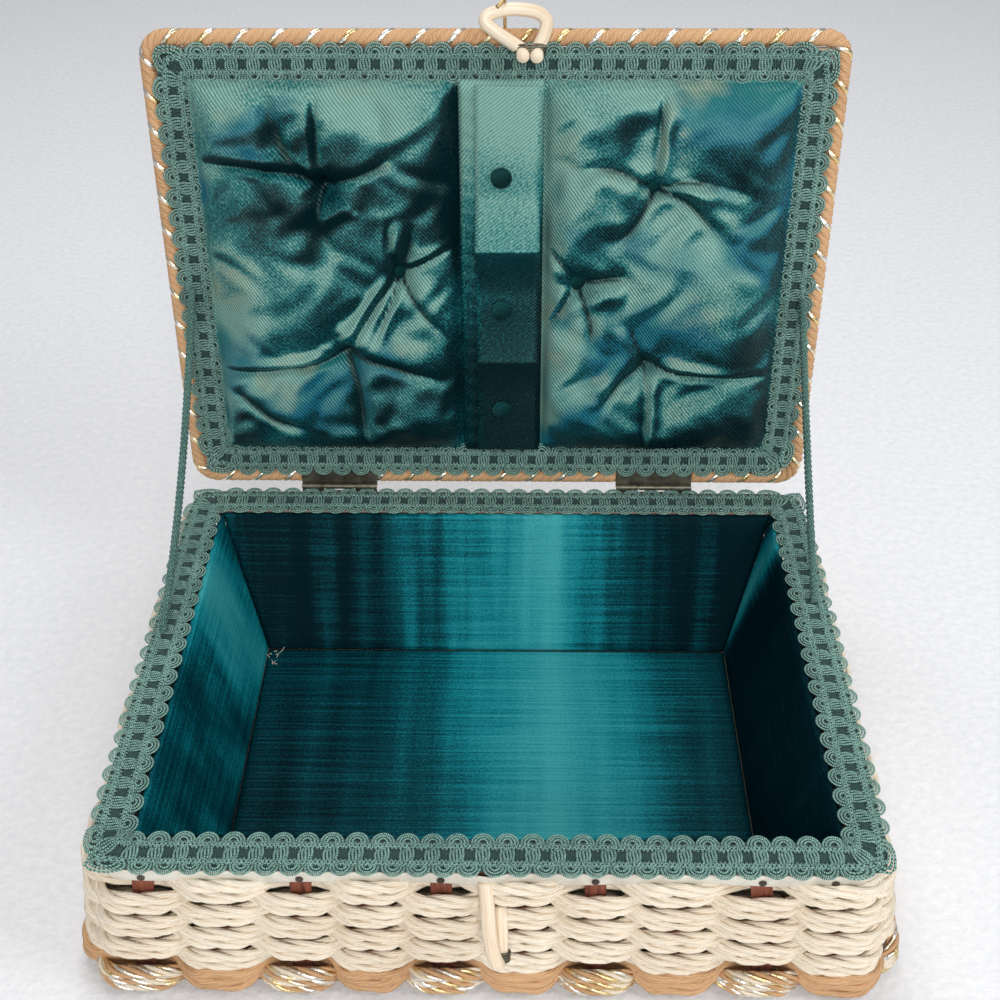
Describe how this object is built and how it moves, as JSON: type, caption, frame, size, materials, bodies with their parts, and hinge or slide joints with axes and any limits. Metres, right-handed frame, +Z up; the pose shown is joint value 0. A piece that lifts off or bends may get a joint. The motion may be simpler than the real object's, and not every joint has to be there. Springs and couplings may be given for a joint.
{
  "type": "sewing basket",
  "caption": "Rectangular woven sewing basket with a satin lining and a hinged, tufted lid that stands open on two stay cords and fastens with a cane loop.",
  "frame": {"origin": "centre of the base board's underside, where the basket stands", "axes": "+X to the right seen from the front, along the longer side; +Y to the rear, where the hinges are; +Z up"},
  "size_m": [0.3062, 0.2698, 0.2817],
  "materials": {
    "board": "matte",
    "satin": "satin",
    "stake": "matte",
    "cord": "matte",
    "rope": "matte",
    "gilt": "satin",
    "band": "satin",
    "nail": "satin",
    "gimp": "matte",
    "brass": "satin",
    "wire": "satin",
    "cane": "satin",
    "stay": "matte"
  },
  "bodies": {
    "basket": {"base_board": "board", "floor_lining": "satin", "front_lining": "satin", "rear_lining": "satin", "left_lining": "satin", "right_lining": "satin", "front_stakes": "stake", "rear_stakes": "stake", "left_stakes": "stake", "right_stakes": "stake", "weave_row_1": "cord", "weave_row_2": "cord", "weave_row_3": "cord", "weave_row_4": "cord", "weave_row_5": "cord", "weave_row_6": "cord", "weave_row_7": "cord", "tan_twine": "rope", "gilt_twine": "gilt", "rim_frame": "board", "rim_band": "band", "band_nail_1": "nail", "band_nail_2": "nail", "band_nail_3": "nail", "band_nail_4": "nail", "band_nail_5": "nail", "band_nail_6": "nail", "rim_gimp": "gimp", "front_bow": "cane", "bow_binding": "wire", "left_hinge_body_leaf": "brass", "right_hinge_body_leaf": "brass", "left_hinge_pin": "brass", "right_hinge_pin": "brass", "left_stay": "stay", "right_stay": "stay"},
    "lid": {"lid_board": "board", "lid_weave": "cord", "lid_rope": "rope", "lid_gimp": "gimp", "left_pad": "satin", "right_pad": "satin", "tuft_button_1": "satin", "tuft_button_2": "satin", "tuft_button_3": "satin", "strap_base": "satin", "strap_loop": "satin", "strap_button_1": "satin", "strap_button_2": "satin", "strap_button_3": "satin", "left_hinge_lid_leaf": "brass", "right_hinge_lid_leaf": "brass", "wire_eye": "wire"},
    "cane_loop": {"lid_loop": "cane", "loop_binding": "wire"}
  },
  "joints": [
    {"name": "lid_hinge", "type": "hinge", "parent": "basket", "child": "lid", "pos_m": [0, 0.1051, 0.07015], "axis": [1, 0, 0], "range_deg": [0, 100], "deforming": ["left_stay", "right_stay"]},
    {"name": "lid_loop_swing", "type": "hinge", "parent": "lid", "child": "cane_loop", "pos_m": [0, 0.14323, 0.27717], "axis": [1, 0, 0], "range_deg": [-115, 0]}
  ],
  "couplings": [
    {"joint": "lid_loop_swing", "follows": "lid_hinge", "ratio": -1.15}
  ]
}
